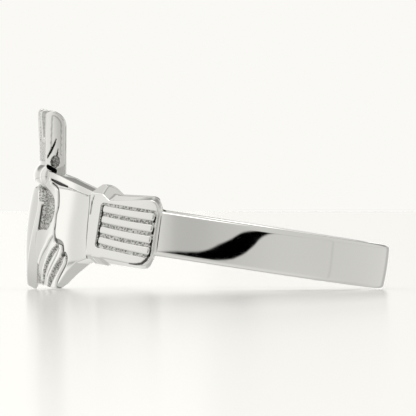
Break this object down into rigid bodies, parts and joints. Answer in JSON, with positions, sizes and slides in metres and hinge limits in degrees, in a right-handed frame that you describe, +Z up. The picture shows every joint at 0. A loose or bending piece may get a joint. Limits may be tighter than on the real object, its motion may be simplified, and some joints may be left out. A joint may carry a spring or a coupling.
{
  "type": "claddagh ring",
  "caption": "Cast finger ring lying on its side: a flat band with ribbed cuffs, and hands that hold a crowned heart.",
  "frame": {"origin": "on the ground, under the middle of the ring's box", "axes": "+Z up, +X from the heart to the back of the band, Y across the hands; the finger's axis leans 8.76 degrees towards +X"},
  "size_m": [0.0204, 0.0198, 0.0101],
  "materials": {
    "silver": "rhodium-plated sterling silver, polished on the raised forms, matt and grained in the recesses"
  },
  "bodies": {
    "root": {"ring": "silver"}
  },
  "joints": []
}
